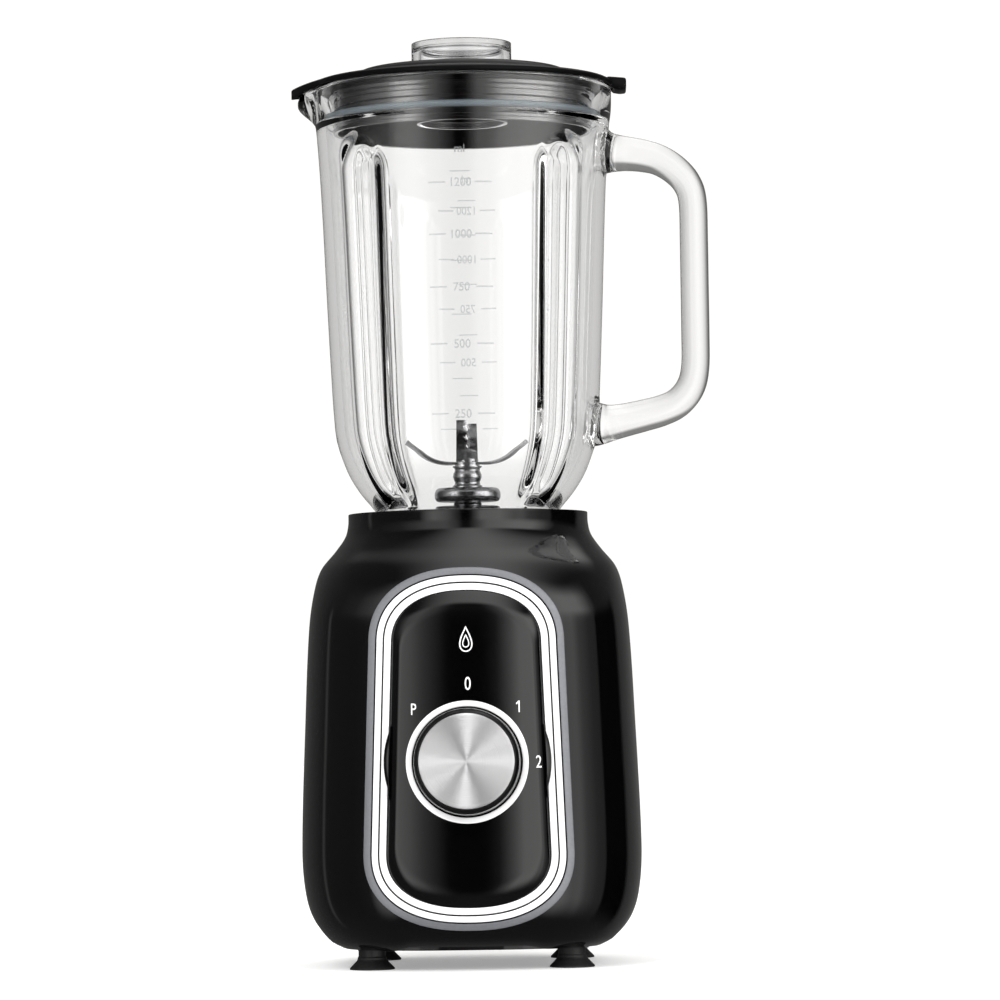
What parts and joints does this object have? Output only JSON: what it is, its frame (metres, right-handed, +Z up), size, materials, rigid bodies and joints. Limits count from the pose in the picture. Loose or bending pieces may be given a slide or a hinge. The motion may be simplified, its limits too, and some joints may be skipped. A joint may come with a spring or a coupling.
{
  "type": "countertop blender",
  "caption": "Countertop blender: black motor base with a rotary speed dial in a bright-rimmed panel, clear glass jar with side handle, blade unit, push-in lid and measuring cap.",
  "frame": {"origin": "on the motor axis, in the plane that the feet stand on", "axes": "+Z up along the motor axis, front panel towards -Y, jar handle towards +X"},
  "size_m": [0.1829, 0.1668, 0.4044],
  "materials": {
    "black_gloss": "polished",
    "black_satin": "satin",
    "trim_grey": "satin",
    "bright_bezel": "mirror polished",
    "spun_steel": "spun radial grain",
    "steel": "bright machined",
    "stamped_steel": "zinc plated",
    "laminations": "stacked sheet",
    "copper": "enamelled wire",
    "bronze": "sintered",
    "black_rubber": "matte",
    "silicone": "translucent satin",
    "carbon": "matte",
    "phenolic": "moulded",
    "board_green": "lacquered",
    "jar_glass": "clear pressed glass",
    "clear_plastic": "clear moulded plastic"
  },
  "bodies": {
    "base": {"housing": "black_gloss", "base_plate": "black_satin", "base_screws": "steel", "suction_feet": "black_rubber", "cord_gland": "black_rubber", "cord_clamp": "black_satin", "outer_trim": "trim_grey", "bezel_outer": "bright_bezel", "bezel_inner": "bright_bezel", "control_panel": "black_gloss", "knob_boss": "black_gloss", "dial_ring": "bright_bezel", "switch_body": "phenolic", "coupling_seal": "black_rubber", "stator_core": "laminations", "field_coils": "copper", "lower_bracket": "stamped_steel", "upper_bracket": "stamped_steel", "lower_bearing": "steel", "upper_bearing": "steel", "brush_holders": "bronze", "carbon_brushes": "carbon", "brush_springs": "steel", "motor_grommets": "black_rubber", "motor_screws": "steel", "circuit_board": "board_green", "bridge_rectifier": "black_satin"},
    "rotor": {"drive_coupling": "black_satin", "armature_shaft": "steel", "armature_core": "laminations", "armature_windings": "copper", "commutator": "copper", "cooling_fan": "black_satin"},
    "speed_knob": {"knob_body": "black_satin", "knob_face": "spun_steel", "switch_shaft": "steel"},
    "jar": {"glass_jar": "jar_glass", "jar_base": "black_satin", "jar_seal": "silicone", "bearing_housing": "steel", "blade_bearing": "bronze", "retaining_nut": "steel"},
    "blades": {"blade_spindle": "steel", "lateral_blade": "steel", "upright_blade": "steel", "blade_washer": "steel", "blade_nut": "steel", "jar_coupling": "black_satin"},
    "lid": {"lid": "black_satin", "lid_gasket": "silicone"},
    "cap": {"measuring_cap": "clear_plastic"}
  },
  "joints": [
    {"name": "motor_spin", "type": "hinge", "parent": "base", "child": "rotor", "pos_m": [0, 0, 0.1], "axis": [0, 0, 1], "continuous": true},
    {"name": "knob_turn", "type": "hinge", "parent": "base", "child": "speed_knob", "pos_m": [0, -0.0762, 0.089], "axis": [0, 0.9994, -0.0349], "range_deg": [-45, 90]},
    {"name": "jar_lift", "type": "slide", "parent": "base", "child": "jar", "axis": [0, 0, 1], "range_m": [0, 0.06]},
    {"name": "blade_spin", "type": "hinge", "parent": "jar", "child": "blades", "pos_m": [0, 0, 0.2], "axis": [0, 0, 1], "continuous": true},
    {"name": "lid_lift", "type": "slide", "parent": "jar", "child": "lid", "axis": [0, 0, 1], "range_m": [0, 0.05]},
    {"name": "cap_lift", "type": "slide", "parent": "lid", "child": "cap", "axis": [0, 0, 1], "range_m": [0, 0.05]}
  ],
  "couplings": [
    {"joint": "blade_spin", "follows": "motor_spin", "ratio": 1}
  ]
}
